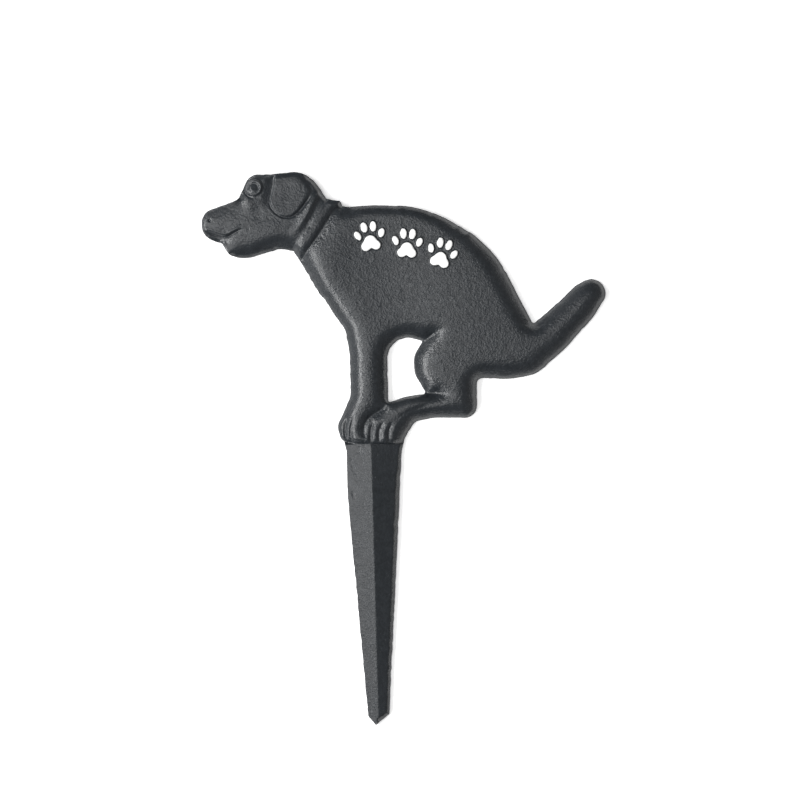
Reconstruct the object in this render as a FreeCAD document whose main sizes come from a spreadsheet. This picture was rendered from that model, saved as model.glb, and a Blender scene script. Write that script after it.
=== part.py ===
# Dog garden stake, one iron casting
# A crouching dog in low relief stands on a ridged spike that is pushed into the lawn.
# The front faces -Y, the flat back lies in the plane y = 0 and +Z is up.
# The origin is on the sole line, where the spike leaves the ground. All sizes are in millimetres.

import FreeCAD, Part
import Sketcher

import math
import os

NODE = "dog_stake_casting"

# Driving dimensions: alias, size and what it is
SIZES = [
    ("plate_thickness", 7.0, "flat back to the flat of the dog's body"),
    ("edge_rounding", 5.2, "radius that the mould gives the front edges"),
    ("ear_rise", 0.9, "ear above the head"),
    ("ear_rounding", 0.7, "radius of the ear's edge"),
    ("collar_rise", 0.7, "collar above the neck"),
    ("eye_across", -58.0, "eye, left of the origin"),
    ("eye_up", 123.2, "eye, above the origin"),
    ("eye_ball", 3.5, "half the width of the eyeball"),
    ("eye_ball_depth", 2.5, "half the depth of the eyeball, most of it in the head"),
    ("eye_ball_rise", 0.8, "top of the eyeball above the face"),
    ("eye_ring", 3.3, "radius of the groove round the eyeball"),
    ("eye_ring_groove", 0.6, "radius of that groove's section"),
    ("nostril_across", -79.4, "nostril, left of the origin"),
    ("nostril_up", 107.4, "nostril, above the origin"),
    ("nostril_radius", 0.9, "radius of the nostril"),
    ("nostril_depth", 1.2, "depth of the nostril"),
    ("crease_depth", 1.1, "depth of the creases in the coat"),
    ("toe_crease_depth", 2.0, "depth of the creases between toes"),
]

# Corners of an outline, followed anticlockwise as seen from the front.
# Each has its place across and up, and the radius that rounds it.
DOG_CORNERS = [
    ("crown", -31.5, 132.0, 14.5),
    ("crown_front", -48.0, 130.0, 30.0),
    ("brow", -60.3, 129.8, 6.3),
    ("stop", -65.9, 117.3, 4.0),
    ("nose_top", -83.4, 111.2, 6.5),
    ("nose_bottom", -83.4, 99.2, 8.0),
    ("lips", -73.5, 96.1, 0.8),
    ("chin", -70.1, 90.1, 6.2),
    ("jaw", -62.5, 88.5, 16.0),
    ("jaw_back", -45.3, 93.5, 12.0),
    ("throat", -38.3, 92.4, 1.2),
    ("chest", -28.0, 74.6, 25.0),
    ("elbow", -14.1, 55.0, 12.0),
    ("front_leg", -11.4, 44.4, 30.0),
    ("wrist", -10.8, 21.6, 14.0),
    ("paw_front", -17.5, 6.8, 6.0),
    ("sole_front", -14.9, -1.2, 5.6),
    ("sole_back", 14.2, -1.9, 5.6),
    ("paw_back", 20.6, 9.5, 6.0),
    ("hind_foot", 31.0, 11.1, 40.0),
    ("heel", 51.2, 10.9, 6.3),
    ("hock", 50.9, 30.5, 3.0),
    ("tail_root_under", 66.3, 29.9, 50.0),
    ("tail_under", 79.5, 31.7, 20.0),
    ("tail_low", 95.6, 46.3, 60.0),
    ("tail_middle", 107.8, 60.3, 40.0),
    ("tail_tip_under", 115.3, 71.9, 7.0),
    ("tail_tip", 109.4, 80.3, 6.3),
    ("tail_tip_back", 100.2, 76.9, 20.0),
    ("tail_back", 90.5, 67.5, 60.0),
    ("tail_root", 78.4, 56.9, 1.2),
    ("rump", 62.0, 88.7, 57.0),
    ("hip", 50.8, 99.9, 38.0),
    ("loin", 33.9, 109.6, 55.0),
    ("back", 20.0, 114.4, 50.0),
    ("withers", 2.3, 115.0, 150.0),
    ("nape", -13.1, 114.1, 1.2),
    ("neck_back", -22.3, 117.9, 1.5),
]

# The open gap between the front leg and the thigh
GAP_CORNERS = [
    ("gap_elbow", 7.0, 49.8, 10.2),
    ("gap_foot_front", 7.75, 18.6, 0.8),
    ("gap_foot", 15.5, 21.4, 25.0),
    ("gap_foot_back", 26.0, 22.9, 0.9),
    ("thigh_low", 19.9, 33.5, 14.0),
    ("thigh_high", 19.9, 41.4, 12.0),
    ("gap_belly_back", 24.5, 48.6, 0.8),
    ("gap_belly", 18.5, 50.1, 5.0),
]

EAR_CORNERS = [
    ("ear_top", -47.2, 128.8, 1.2),
    ("ear_front", -51.6, 114.6, 5.0),
    ("ear_tip", -46.2, 108.6, 5.0),
    ("ear_lobe", -36.6, 109.0, 6.0),
    ("ear_back", -26.9, 122.4, 2.5),
    ("ear_root", -33.0, 128.6, 4.0),
]

# The collar's corners are sharp: its two ends are rounded with the plate's own radius
COLLAR_CORNERS = [
    ("collar_back_top", -22.6, 118.0),
    ("collar_front_low", -38.7, 92.2),
    ("collar_throat", -34.3, 86.5),
    ("collar_groove", -20.4, 111.8),
    ("collar_flare", -13.9, 113.9),
    ("collar_bump", -15.9, 117.0),
]

# Cross-sections of the spike, from under the paws down to below its tip:
# name, height, left edge, right edge, ridge, height of the side walls and height of the ridge
SPIKE_SECTIONS = [
    ("root", 4.0, -15.0, 16.4, -1.0, 2.2, 6.6),
    ("shoulder", -5.0, -12.7, 14.3, -0.8, 2.2, 6.6),
    ("waist", -27.0, -12.2, 13.3, -0.1, 2.2, 6.5),
    ("end", -140.0, -1.7, 8.0, 2.9, 1.8, 3.6),
]

# The V-shaped cut that leaves the spike's chisel point: it reaches past both edges and below
POINT_CORNERS = [
    ("point_left", -10.0, -125.8),
    ("point_tip", 1.7, -139.0),
    ("point_right", 14.9, -128.4),
    ("point_right_low", 14.9, -145.0),
    ("point_left_low", -10.0, -145.0),
]

# Creases: name, both ends, and how far each side bulges to the left of the way from end to end
COAT_CREASES = [
    ("mouth", (-73.2, 99.9), (-60.4, 104.6), -1.9, -0.8),
    ("lip", (-83.5, 103.6), (-74.1, 99.7), -0.2, -1.1),
    ("neck", (-26.4, 117.6), (-36.9, 102.0), -0.4, 1.0),
    ("belly", (23.5, 47.2), (34.0, 53.3), 0.7, -0.6),
    ("foot", (25.2, 23.4), (41.0, 20.0), 1.3, 0.0),
    ("paw", (8.2, 19.2), (-5.0, 5.6), -0.4, -2.0),
]
TOE_CREASES = [
    ("front_toe_one", (-12.0, 10.6), (-13.4, 0.5), -1.4, -0.2),
    ("front_toe_two", (-8.3, 12.4), (-10.2, 1.0), -1.7, -0.5),
    ("hind_toe_one", (0.6, 9.7), (-0.9, -0.5), -1.6, -0.4),
    ("hind_toe_two", (4.9, 9.3), (2.8, -0.6), -1.6, -0.4),
    ("hind_toe_three", (9.4, 8.7), (7.0, -0.7), -1.6, -0.4),
]


def make_sheet(doc):
    """Put every driving dimension and every corner into the spreadsheet."""
    rows = list(SIZES)
    for corners in (DOG_CORNERS, GAP_CORNERS, EAR_CORNERS):
        for name, across, up, radius in corners:
            rows.append((name + "_across", across, "corner, across"))
            rows.append((name + "_up", up, "corner, up"))
            rows.append((name + "_round", radius, "corner, radius"))
    for name, across, up in COLLAR_CORNERS + POINT_CORNERS:
        rows.append((name + "_across", across, "corner, across"))
        rows.append((name + "_up", up, "corner, up"))
    for name, height, left, right, ridge, wall, top in SPIKE_SECTIONS:
        rows.append((name + "_height", height, "spike section, height"))
        rows.append((name + "_left", left, "spike section, left edge"))
        rows.append((name + "_right", right, "spike section, right edge"))
        rows.append((name + "_ridge", ridge, "spike section, ridge"))
        rows.append((name + "_wall", wall, "spike section, depth of the side walls"))
        rows.append((name + "_top", top, "spike section, depth at the ridge"))
    sheet = doc.addObject("Spreadsheet::Sheet", "Sizes")
    for row, (alias, size, note) in enumerate(rows, start=1):
        sheet.set("A%d" % row, note)
        sheet.set("B%d" % row, str(size))
        sheet.setAlias("B%d" % row, alias)
    doc.recompute()


def make_sketch(body, name, role, lift=None):
    """Start a sketch in one of the body's own origin planes, or lifted off it by a cell."""
    sketch = body.newObject("Sketcher::SketchObject", name)
    for plane in body.Origin.OriginFeatures:
        if plane.Role == role:
            sketch.AttachmentSupport = [(plane, "")]
    sketch.MapMode = "FlatFace"
    if lift:
        sketch.setExpression("AttachmentOffset.Base.z", "Sizes." + lift)
    return sketch


def bind(sketch, name, constraint, expression=None):
    """Add a named constraint and tie it to the cell of that name, or to an expression of cells."""
    number = sketch.addConstraint(constraint)
    sketch.renameConstraint(number, name)
    sketch.setExpression("Constraints." + name, expression or "Sizes." + name)


def bend_at(before, corner, after, radius):
    """Give the start, the middle and the end of the arc that rounds a corner."""
    back = (before - corner).normalize()
    ahead = (after - corner).normalize()
    half = back.getAngle(ahead) / 2
    setback = radius / math.tan(half)
    inward = (back + ahead).normalize()
    middle = corner + inward * (radius / math.sin(half) - radius)
    return corner + back * setback, middle, corner + ahead * setback


def arc_end(sketch, arc, point):
    """Tell which end of an arc, 1 or 2, lies at the point."""
    start = sketch.getPoint(arc, 1).distanceToPoint(point)
    end = sketch.getPoint(arc, 2).distanceToPoint(point)
    return 1 if start < end else 2


def draw_outline(sketch, corners, bound):
    """Draw straight edges joined by tangent arcs round a list of corners.

    The corners are construction points that the edges run through. They and the radii are held
    by dimensions: tied to the sheet's cells where bound is true, and otherwise taken from them.
    """
    points = [FreeCAD.Vector(across, up, 0) for name, across, up, radius in corners]
    count = len(points)
    bends = []
    for i in range(count):
        bends.append(bend_at(points[i - 1], points[i], points[(i + 1) % count], corners[i][3]))
    marks = [sketch.addGeometry(Part.Point(point), True) for point in points]
    arcs = [sketch.addGeometry(Part.Arc(*bend)) for bend in bends]
    rules = []
    for i in range(count):
        after = (i + 1) % count
        start = bends[i][2]
        end = bends[after][0]
        edge = sketch.addGeometry(Part.LineSegment(start, end))
        leaving = arc_end(sketch, arcs[i], start)
        arriving = arc_end(sketch, arcs[after], end)
        rules.append(Sketcher.Constraint("Tangent", edge, 1, arcs[i], leaving))
        rules.append(Sketcher.Constraint("Tangent", edge, 2, arcs[after], arriving))
        rules.append(Sketcher.Constraint("PointOnObject", marks[i], 1, edge))
        rules.append(Sketcher.Constraint("PointOnObject", marks[after], 1, edge))
    dimensions = []
    for i, (name, across, up, radius) in enumerate(corners):
        dimensions.append((name + "_across", Sketcher.Constraint("DistanceX", marks[i], 1, across)))
        dimensions.append((name + "_up", Sketcher.Constraint("DistanceY", marks[i], 1, up)))
        dimensions.append((name + "_round", Sketcher.Constraint("Radius", arcs[i], radius)))
    if bound:
        sketch.addConstraint(rules)
        for alias, dimension in dimensions:
            bind(sketch, alias, dimension)
    else:
        sketch.addConstraint(rules + [dimension for alias, dimension in dimensions])


def draw_polygon(sketch, corners):
    """Draw straight edges from corner to corner, each corner tied to its two cells."""
    points = [FreeCAD.Vector(across, up, 0) for name, across, up in corners]
    count = len(points)
    edges = []
    for i in range(count):
        edges.append(sketch.addGeometry(Part.LineSegment(points[i], points[(i + 1) % count])))
    for i in range(count):
        sketch.addConstraint(Sketcher.Constraint("Coincident", edges[i - 1], 2, edges[i], 1))
    for i, (name, across, up) in enumerate(corners):
        bind(sketch, name + "_across", Sketcher.Constraint("DistanceX", edges[i], 1, across))
        bind(sketch, name + "_up", Sketcher.Constraint("DistanceY", edges[i], 1, up))


def add_pad(body, name, sketch, *cells):
    """Raise a pad from the flat back, as deep as the named cells add up to."""
    pad = body.newObject("PartDesign::Pad", name)
    pad.Profile = sketch
    pad.setExpression("Length", " + ".join("Sizes." + cell for cell in cells))
    body.Document.recompute()
    return pad


def add_pocket(body, name, sketch, cell):
    """Sink a pocket into the front, as deep as the named cell."""
    pocket = body.newObject("PartDesign::Pocket", name)
    pocket.Profile = sketch
    pocket.setExpression("Length", "Sizes." + cell)
    body.Document.recompute()
    return pocket


def cut_through(body, name, sketch):
    """Cut a sketch through the whole casting, front to back."""
    pocket = body.newObject("PartDesign::Pocket", name)
    pocket.Profile = sketch
    pocket.Type = "ThroughAll"
    pocket.Midplane = True
    body.Document.recompute()
    return pocket


def add_fillet(body, name, base, edges, cell):
    """Round the named edges of a feature."""
    fillet = body.newObject("PartDesign::Fillet", name)
    fillet.Base = (base, edges)
    fillet.setExpression("Radius", "Sizes." + cell)
    body.Document.recompute()
    return fillet


def edges_at(feature, depth):
    """Name the edges of a feature that lie flat at a depth in front of the back."""
    names = []
    for number, edge in enumerate(feature.Shape.Edges, start=1):
        box = edge.BoundBox
        if abs(box.YMin + depth) < 0.001 and abs(box.YMax + depth) < 0.001:
            names.append("Edge%d" % number)
    return names


def edges_between(feature, depth, first, second):
    """Name the edges at a depth that run straight from one corner to another."""
    names = []
    middle = FreeCAD.Vector((first[1] + second[1]) / 2, -depth, (first[2] + second[2]) / 2)
    for name in edges_at(feature, depth):
        edge = feature.getSubObject(name)
        if edge.distToShape(Part.Vertex(middle))[0] < 0.01:
            names.append(name)
    return names


def make_plate(body, cell):
    """The dog's plate: outline, gap behind the front leg, and the soft edge of the mould."""
    outline = make_sketch(body, "DogOutline", "XZ_Plane")
    draw_outline(outline, DOG_CORNERS, bound=False)
    add_pad(body, "Plate", outline, "plate_thickness")
    gap_outline = make_sketch(body, "GapOutline", "XZ_Plane")
    draw_outline(gap_outline, GAP_CORNERS, bound=True)
    gap = cut_through(body, "Gap", gap_outline)
    front_edges = edges_at(gap, cell("plate_thickness"))
    return add_fillet(body, "SoftEdge", gap, front_edges, "edge_rounding")


def make_spike(body):
    """The ridged spike: a loft through four house-shaped sections, cut to a chisel point."""
    sections = []
    for name, height, left, right, ridge, wall, top in SPIKE_SECTIONS:
        sketch = make_sketch(body, "Spike" + name.title(), "XY_Plane", name + "_height")
        draw_spike_section(sketch, name, left, right, ridge, wall, top)
        sections.append(sketch)
    loft = body.newObject("PartDesign::AdditiveLoft", "Spike")
    loft.Profile = sections[0]
    loft.Sections = sections[1:]
    loft.Ruled = True
    body.Document.recompute()
    outline = make_sketch(body, "PointOutline", "XZ_Plane")
    draw_polygon(outline, POINT_CORNERS)
    return cut_through(body, "ChiselPoint", outline)


def draw_spike_section(sketch, name, left, right, ridge, wall, top):
    """Draw one house-shaped section: flat back, two side walls and two roof faces."""
    corners = [(left, 0), (right, 0), (right, -wall), (ridge, -top), (left, -wall)]
    points = [FreeCAD.Vector(across, depth, 0) for across, depth in corners]
    edges = []
    for i in range(5):
        edges.append(sketch.addGeometry(Part.LineSegment(points[i], points[(i + 1) % 5])))
    for i in range(5):
        sketch.addConstraint(Sketcher.Constraint("Coincident", edges[i - 1], 2, edges[i], 1))
    sketch.addConstraint(Sketcher.Constraint("PointOnObject", edges[0], 1, -1))
    sketch.addConstraint(Sketcher.Constraint("Horizontal", edges[0]))
    sketch.addConstraint(Sketcher.Constraint("Vertical", edges[1]))
    sketch.addConstraint(Sketcher.Constraint("Vertical", edges[4]))
    bind(sketch, name + "_left", Sketcher.Constraint("DistanceX", edges[0], 1, left))
    bind(sketch, name + "_right", Sketcher.Constraint("DistanceX", edges[1], 1, right))
    bind(sketch, name + "_ridge", Sketcher.Constraint("DistanceX", edges[3], 1, ridge))
    bind(sketch, name + "_wall", Sketcher.Constraint("DistanceY", edges[1], 2, edges[1], 1, wall))
    bind(sketch, name + "_top", Sketcher.Constraint("DistanceY", edges[3], 1, -1, 1, top))
    sketch.addConstraint(Sketcher.Constraint("Equal", edges[1], edges[4]))


def make_collar(body, cell):
    """The collar: a strap over the neck that stands a little past the outline at both ends."""
    sketch = make_sketch(body, "CollarOutline", "XZ_Plane")
    draw_polygon(sketch, COLLAR_CORNERS)
    collar = add_pad(body, "Collar", sketch, "plate_thickness", "collar_rise")
    depth = cell("plate_thickness") + cell("collar_rise")
    ends = edges_between(collar, depth, COLLAR_CORNERS[1], COLLAR_CORNERS[2])
    ends += edges_between(collar, depth, COLLAR_CORNERS[5], COLLAR_CORNERS[0])
    return add_fillet(body, "CollarEnds", collar, ends, "edge_rounding")


def make_ear(body, cell):
    """The hanging ear, a flap that lies on the head."""
    sketch = make_sketch(body, "EarOutline", "XZ_Plane")
    draw_outline(sketch, EAR_CORNERS, bound=True)
    ear = add_pad(body, "Ear", sketch, "plate_thickness", "ear_rise")
    depth = cell("plate_thickness") + cell("ear_rise")
    return add_fillet(body, "EarEdge", ear, edges_at(ear, depth), "ear_rounding")


def make_eye(body, cell):
    """The eye: a low ball in a ring-shaped groove."""
    face = -cell("plate_thickness")
    up = cell("eye_up")
    ring = cell("eye_ring")
    radius = cell("eye_ring_groove")
    sketch = make_sketch(body, "EyeRingSection", "YZ_Plane", "eye_across")
    line = Part.LineSegment(FreeCAD.Vector(face - 5, up, 0), FreeCAD.Vector(face + 5, up, 0))
    axis = sketch.addGeometry(line, True)
    centre = FreeCAD.Vector(face, up + ring, 0)
    section = sketch.addGeometry(Part.Circle(centre, FreeCAD.Vector(0, 0, 1), radius))
    sketch.addConstraint(Sketcher.Constraint("Horizontal", axis))
    bind(sketch, "eye_up", Sketcher.Constraint("DistanceY", axis, 1, up))
    bind(sketch, "eye_ring_groove", Sketcher.Constraint("Radius", section, radius))
    bind(sketch, "face", Sketcher.Constraint("DistanceX", section, 3, face), "-Sizes.plate_thickness")
    ring_up = Sketcher.Constraint("DistanceY", section, 3, up + ring)
    bind(sketch, "ring_up", ring_up, "Sizes.eye_up + Sizes.eye_ring")
    groove = body.newObject("PartDesign::Groove", "EyeRing")
    groove.Profile = sketch
    groove.ReferenceAxis = (sketch, ["Axis0"])
    groove.Angle = 360
    body.Document.recompute()

    eyeball = body.newObject("PartDesign::AdditiveEllipsoid", "Eyeball")
    eyeball.setExpression("Radius1", "Sizes.eye_ball")
    eyeball.setExpression("Radius2", "Sizes.eye_ball")
    eyeball.setExpression("Radius3", "Sizes.eye_ball_depth")
    eyeball.setExpression("Placement.Base.x", "Sizes.eye_across")
    depth = "Sizes.eye_ball_depth - Sizes.plate_thickness - Sizes.eye_ball_rise"
    eyeball.setExpression("Placement.Base.y", depth)
    eyeball.setExpression("Placement.Base.z", "Sizes.eye_up")
    body.Document.recompute()
    return eyeball


def make_nostril(body, cell):
    """The nostril, a small round pit."""
    sketch = make_sketch(body, "NostrilOutline", "XZ_Plane", "plate_thickness")
    across = cell("nostril_across")
    up = cell("nostril_up")
    radius = cell("nostril_radius")
    circle = Part.Circle(FreeCAD.Vector(across, up, 0), FreeCAD.Vector(0, 0, 1), radius)
    rim = sketch.addGeometry(circle)
    bind(sketch, "nostril_radius", Sketcher.Constraint("Radius", rim, radius))
    bind(sketch, "nostril_across", Sketcher.Constraint("DistanceX", rim, 3, across))
    bind(sketch, "nostril_up", Sketcher.Constraint("DistanceY", rim, 3, up))
    return add_pocket(body, "Nostril", sketch, "nostril_depth")


def draw_crease(sketch, start, end, first_bulge, second_bulge):
    """Draw a leaf between two points, its sides two arcs that bulge by different amounts."""
    start = FreeCAD.Vector(start[0], start[1], 0)
    end = FreeCAD.Vector(end[0], end[1], 0)
    middle = (start + end) / 2
    along = end - start
    leftward = FreeCAD.Vector(-along.y, along.x, 0).normalize()
    for bulge in (first_bulge, second_bulge):
        if bulge:
            sketch.addGeometry(Part.Arc(start, middle + leftward * bulge, end))
        else:
            sketch.addGeometry(Part.LineSegment(start, end))


def make_creases(body, group, creases, cell_name):
    """Cut a family of leaf-shaped creases into the front, all equally deep."""
    sketch = make_sketch(body, group + "Outlines", "XZ_Plane", "plate_thickness")
    for name, start, end, first_bulge, second_bulge in creases:
        draw_crease(sketch, start, end, first_bulge, second_bulge)
    return add_pocket(body, group, sketch, cell_name)


def make_casting(doc):
    """Build the one casting, feature by feature, as a pattern maker would."""
    sheet = doc.getObject("Sizes")

    def cell(alias):
        return float(sheet.get(alias))

    body = doc.addObject("PartDesign::Body", "Casting")
    body.Label = NODE
    make_plate(body, cell)
    make_spike(body)
    make_collar(body, cell)
    make_ear(body, cell)
    make_eye(body, cell)
    make_nostril(body, cell)
    make_creases(body, "CoatCreases", COAT_CREASES, "crease_depth")
    body.Tip = make_creases(body, "ToeCreases", TOE_CREASES, "toe_crease_depth")
    body.Placement = FreeCAD.Placement()
    doc.recompute()
    return body


def check(doc, parts):
    """Stop if a feature failed or a sub-part is not one good solid."""
    for item in doc.Objects:
        if "Invalid" in item.State or "Error" in item.State:
            raise RuntimeError("%s failed: %s" % (item.Name, item.State))
    for part in parts:
        shape = part.Shape
        if shape.isNull() or not shape.isValid() or len(shape.Solids) != 1:
            raise RuntimeError("%s is not one good solid" % part.Label)


def main():
    doc = FreeCAD.newDocument("DogStake")
    make_sheet(doc)
    parts = [make_casting(doc)]
    check(doc, parts)
    os.makedirs("parts", exist_ok=True)
    for part in parts:
        part.Shape.exportStep(os.path.join("parts", part.Label + ".step"))
        box = part.Shape.BoundBox
        print("%s: %.1f x %.1f x %.1f mm, %.1f cm3" % (part.Label, box.XLength, box.YLength, box.ZLength,
                                                    part.Shape.Volume / 1000))


main()
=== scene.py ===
# %% [markdown]
# # A cast-iron dog sign on a garden spike
# This lesson dresses a plain CAD casting so that it looks like the real sign: a crouching dog in
# low relief, painted satin black, with white marks on its flank. The CAD solid gives the true
# outline and thickness. Blender adds what a sculptor's hand and the sand mould add: soft swelling
# forms, creases, toes, a leathery skin and brushed paint.

import math

import bpy
import numpy as np
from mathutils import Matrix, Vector
from mathutils.geometry import delaunay_2d_cdt


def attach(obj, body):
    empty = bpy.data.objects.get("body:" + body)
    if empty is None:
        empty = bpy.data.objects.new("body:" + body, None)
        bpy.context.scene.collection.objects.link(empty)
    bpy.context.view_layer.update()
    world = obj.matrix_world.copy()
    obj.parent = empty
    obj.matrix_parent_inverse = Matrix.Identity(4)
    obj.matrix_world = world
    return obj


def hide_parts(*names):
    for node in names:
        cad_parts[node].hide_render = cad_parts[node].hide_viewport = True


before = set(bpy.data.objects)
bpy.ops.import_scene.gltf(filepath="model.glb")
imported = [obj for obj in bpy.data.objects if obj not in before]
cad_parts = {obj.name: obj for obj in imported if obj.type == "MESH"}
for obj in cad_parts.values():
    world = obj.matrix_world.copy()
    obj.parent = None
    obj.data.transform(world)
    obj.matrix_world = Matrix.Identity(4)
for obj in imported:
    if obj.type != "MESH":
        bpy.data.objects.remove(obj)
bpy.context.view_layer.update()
MM = 0.001
rng = np.random.default_rng(7)

# %% [markdown]
# ## The silhouette comes from the casting
# The back of the casting is flat, so its rim is the exact silhouette of the dog, the gap behind
# the front leg and the spike. We collect the triangles that lie in the back plane. An edge that
# only one of them uses is on the rim, and following such edges from point to point gives the
# loops. Reading the rim from the frame keeps the relief and the CAD solid the same size.

# %% Read the rim loops of the flat back
def read_rims(node):
    """Return the closed loops round the flat back, in millimetres, as (across, up) arrays."""
    mesh = node.data
    flat = np.empty(len(mesh.vertices) * 3)
    mesh.vertices.foreach_get("co", flat)
    points = flat.reshape(-1, 3) / MM
    keys = [tuple(np.round(point, 3)) for point in points]
    edges = set()
    for face in mesh.polygons:
        corners = [keys[i] for i in face.vertices]
        if all(abs(corner[1]) < 0.01 for corner in corners):
            edges.update(zip(corners, corners[1:] + corners[:1]))
    follow = {a: b for a, b in edges if (b, a) not in edges}
    loops = []
    while follow:
        start, here = follow.popitem()
        loop = [start]
        while here != start:
            loop.append(here)
            here = follow.pop(here)
        loops.append(np.array([(x, z) for x, y, z in loop]))
    return sorted(loops, key=len, reverse=True)


def area_of(loop):
    """Signed area of a closed loop."""
    after = np.roll(loop, -1, axis=0)
    return 0.5 * float(np.sum(loop[:, 0] * after[:, 1] - after[:, 0] * loop[:, 1]))


rims = read_rims(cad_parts["dog_stake_casting"])
print("rim loops:", [(len(loop), round(area_of(loop))) for loop in rims])

# %% [markdown]
# ## Even points and a hand-fettled edge
# CAD rims have long straight edges and short curved ones. For sculpting we want points at equal
# steps, so we walk round each loop and mark one every half millimetre. A sand casting never has
# a perfect rim: the seam of the mould leaves a thin, slightly wandering edge. We move the points
# inwards by a small smooth random amount, so that the piece never grows past the CAD solid.

# %% Walk round the rims and let them wander
RIM_STEP = 0.5
RIM_WANDER = 0.45
ROUGH_CHEST = ((-38, 48), (-12, 92))


def evenly(loop, step):
    """Mark points at equal steps round a closed loop."""
    closed = np.vstack([loop, loop[:1]])
    travelled = np.concatenate([[0], np.cumsum(np.hypot(*np.diff(closed, axis=0).T))])
    marks = np.linspace(0, travelled[-1], int(travelled[-1] / step), endpoint=False)
    return np.column_stack([np.interp(marks, travelled, closed[:, k]) for k in (0, 1)])


def inward_of(loop):
    """Unit directions into the metal, which lies to the left of the way round."""
    along = np.roll(loop, -1, axis=0) - np.roll(loop, 1, axis=0)
    inward = np.column_stack([-along[:, 1], along[:, 0]])
    return inward / np.hypot(*inward.T)[:, None]


def smooth_noise(count, every):
    """Smoothly changing numbers from 0 to 1 round a closed loop, with a knot every few points."""
    knots = max(6, count // every)
    values = rng.random(knots)
    places = np.arange(count) * knots / count
    before = places.astype(int)
    blend = places - before
    blend = blend * blend * (3 - 2 * blend)
    return values[before] * (1 - blend) + values[(before + 1) % knots] * blend


def wander(loop):
    """Move a loop inwards by a small random amount, most on the chest, where the seam is rough."""
    low, high = np.array(ROUGH_CHEST)
    rough = 1 + ((loop > low).all(axis=1) & (loop < high).all(axis=1))
    amount = RIM_WANDER * rough * smooth_noise(len(loop), 4) * smooth_noise(len(loop), 15)
    return loop + inward_of(loop) * amount[:, None]


rims = [wander(evenly(loop[::-1], RIM_STEP)) for loop in rims]
rim = np.vstack(rims)
print("rim points:", len(rim), "silhouette in mm2:", round(sum(area_of(loop) for loop in rims)))

# %% [markdown]
# ## How far from the edge?
# A cast relief swells up from its edge like a cushion. To shape it we need to know, for every
# place on the front, how far it is from the rim. The plain nearest distance would leave a sharp
# fold along the middle of each limb, where the nearest edge changes sides. So we add up the
# pull of all the rim points, each falling off with a high power of its distance. Near an edge
# this soft distance equals the real one, and in the middle of a limb it rounds over.

# %% Soft and exact distances
PULL = 4
NEAREST = 0.15
PULL_SCALE = math.sqrt(math.pi) * math.gamma((PULL - 1) / 2) / math.gamma(PULL / 2)


def in_batches(work, places, size=2000):
    """Run a heavy calculation on a few thousand places at a time, in short floats."""
    places = np.asarray(places, np.float32)
    firsts = range(0, max(len(places), 1), size)
    return np.concatenate([work(places[first:first + size]) for first in firsts])


def soft_distance(places, sources, lengths, setbacks, outward):
    """Distance to the sources, rounded over in the middle, and how far the edge faces right and up.

    A setback makes a source count as further away than it is."""
    sources, lengths, setbacks, facing = [
        np.asarray(row, np.float32) for row in (sources, lengths, setbacks, outward)]

    def work(some):
        square = (some[:, :1] - sources[:, 0]) ** 2 + (some[:, 1:] - sources[:, 1]) ** 2
        away = np.maximum(np.sqrt(square) + setbacks, NEAREST)
        pulls = lengths / (away * away) ** (PULL // 2)
        pull = pulls.sum(axis=1)
        distance = (PULL_SCALE / pull) ** (1 / (PULL - 1))
        return np.column_stack([distance, pulls @ facing / pull[:, None]])
    return in_batches(work, places).T


def runs_of(loops):
    """Starts and ends of all the straight runs of some closed loops."""
    ends = [np.roll(loop, -1, axis=0) for loop in loops]
    return np.vstack(loops).astype(np.float32), np.vstack(ends).astype(np.float32)


def rim_distance(places):
    """Exact distance to the nearest straight run of the rim."""
    starts, ends = runs_of(rims)
    run_x, run_y = (ends - starts).T
    squares = run_x ** 2 + run_y ** 2

    def work(some):
        off_x, off_y = some[:, :1] - starts[:, 0], some[:, 1:] - starts[:, 1]
        share = np.clip((off_x * run_x + off_y * run_y) / squares, 0, 1)
        return np.sqrt(((off_x - share * run_x) ** 2 + (off_y - share * run_y) ** 2).min(axis=1))
    return in_batches(work, places)


def inside(places, loops):
    """Tell which places lie within the loops, by counting the edges to their right."""
    starts, ends = runs_of(loops)

    def work(some):
        row, edge = np.nonzero((starts[:, 1] > some[:, 1:]) != (ends[:, 1] > some[:, 1:]))
        share = (some[row, 1] - starts[edge, 1]) / (ends[edge, 1] - starts[edge, 1])
        cut = starts[edge, 0] + share * (ends[edge, 0] - starts[edge, 0])
        return np.bincount(row[some[row, 0] < cut], minlength=len(some)) % 2 == 1
    return in_batches(work, places)


middle_of_leg = rim_distance(np.array([[-2.0, 35.0]]))
print("in the middle of the front leg:", middle_of_leg.round(2), "mm from the rim")

# %% [markdown]
# ## Lines drawn with a modelling tool
# Most of the relief is line work: the mouth, the collar's groove, the folds, the toes. Each line
# is a few points picked on the sign, in millimetres, joined by a smooth curve that passes through
# them. For every place on the front we ask how far the line is, how far along it the nearest
# point lies and on which side we are. Grooves, steps and rolls are all simple formulas of these.

# %% Smooth lines and the distance to them
STEPS_PER_KNOT = 8
GROOVE_FADE = 0.15


def smooth_line(points, closed=False):
    """A smooth curve that passes through all the points."""
    points = np.array(points, float)
    if closed:
        knots = np.vstack([points[-1:], points, points[:2]])
    else:
        knots = np.vstack([2 * points[:1] - points[1:2], points, 2 * points[-1:] - points[-2:-1]])
    share = np.linspace(0, 1, STEPS_PER_KNOT, endpoint=False)[:, None]
    pieces = []
    for a, b, c, d in zip(knots, knots[1:], knots[2:], knots[3:]):
        pieces.append(0.5 * (2 * b + (c - a) * share + (2 * a - 5 * b + 4 * c - d) * share ** 2
                             + (3 * b - a - 3 * c + d) * share ** 3))
    return np.vstack(pieces if closed else pieces + [points[-1:]])


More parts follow.
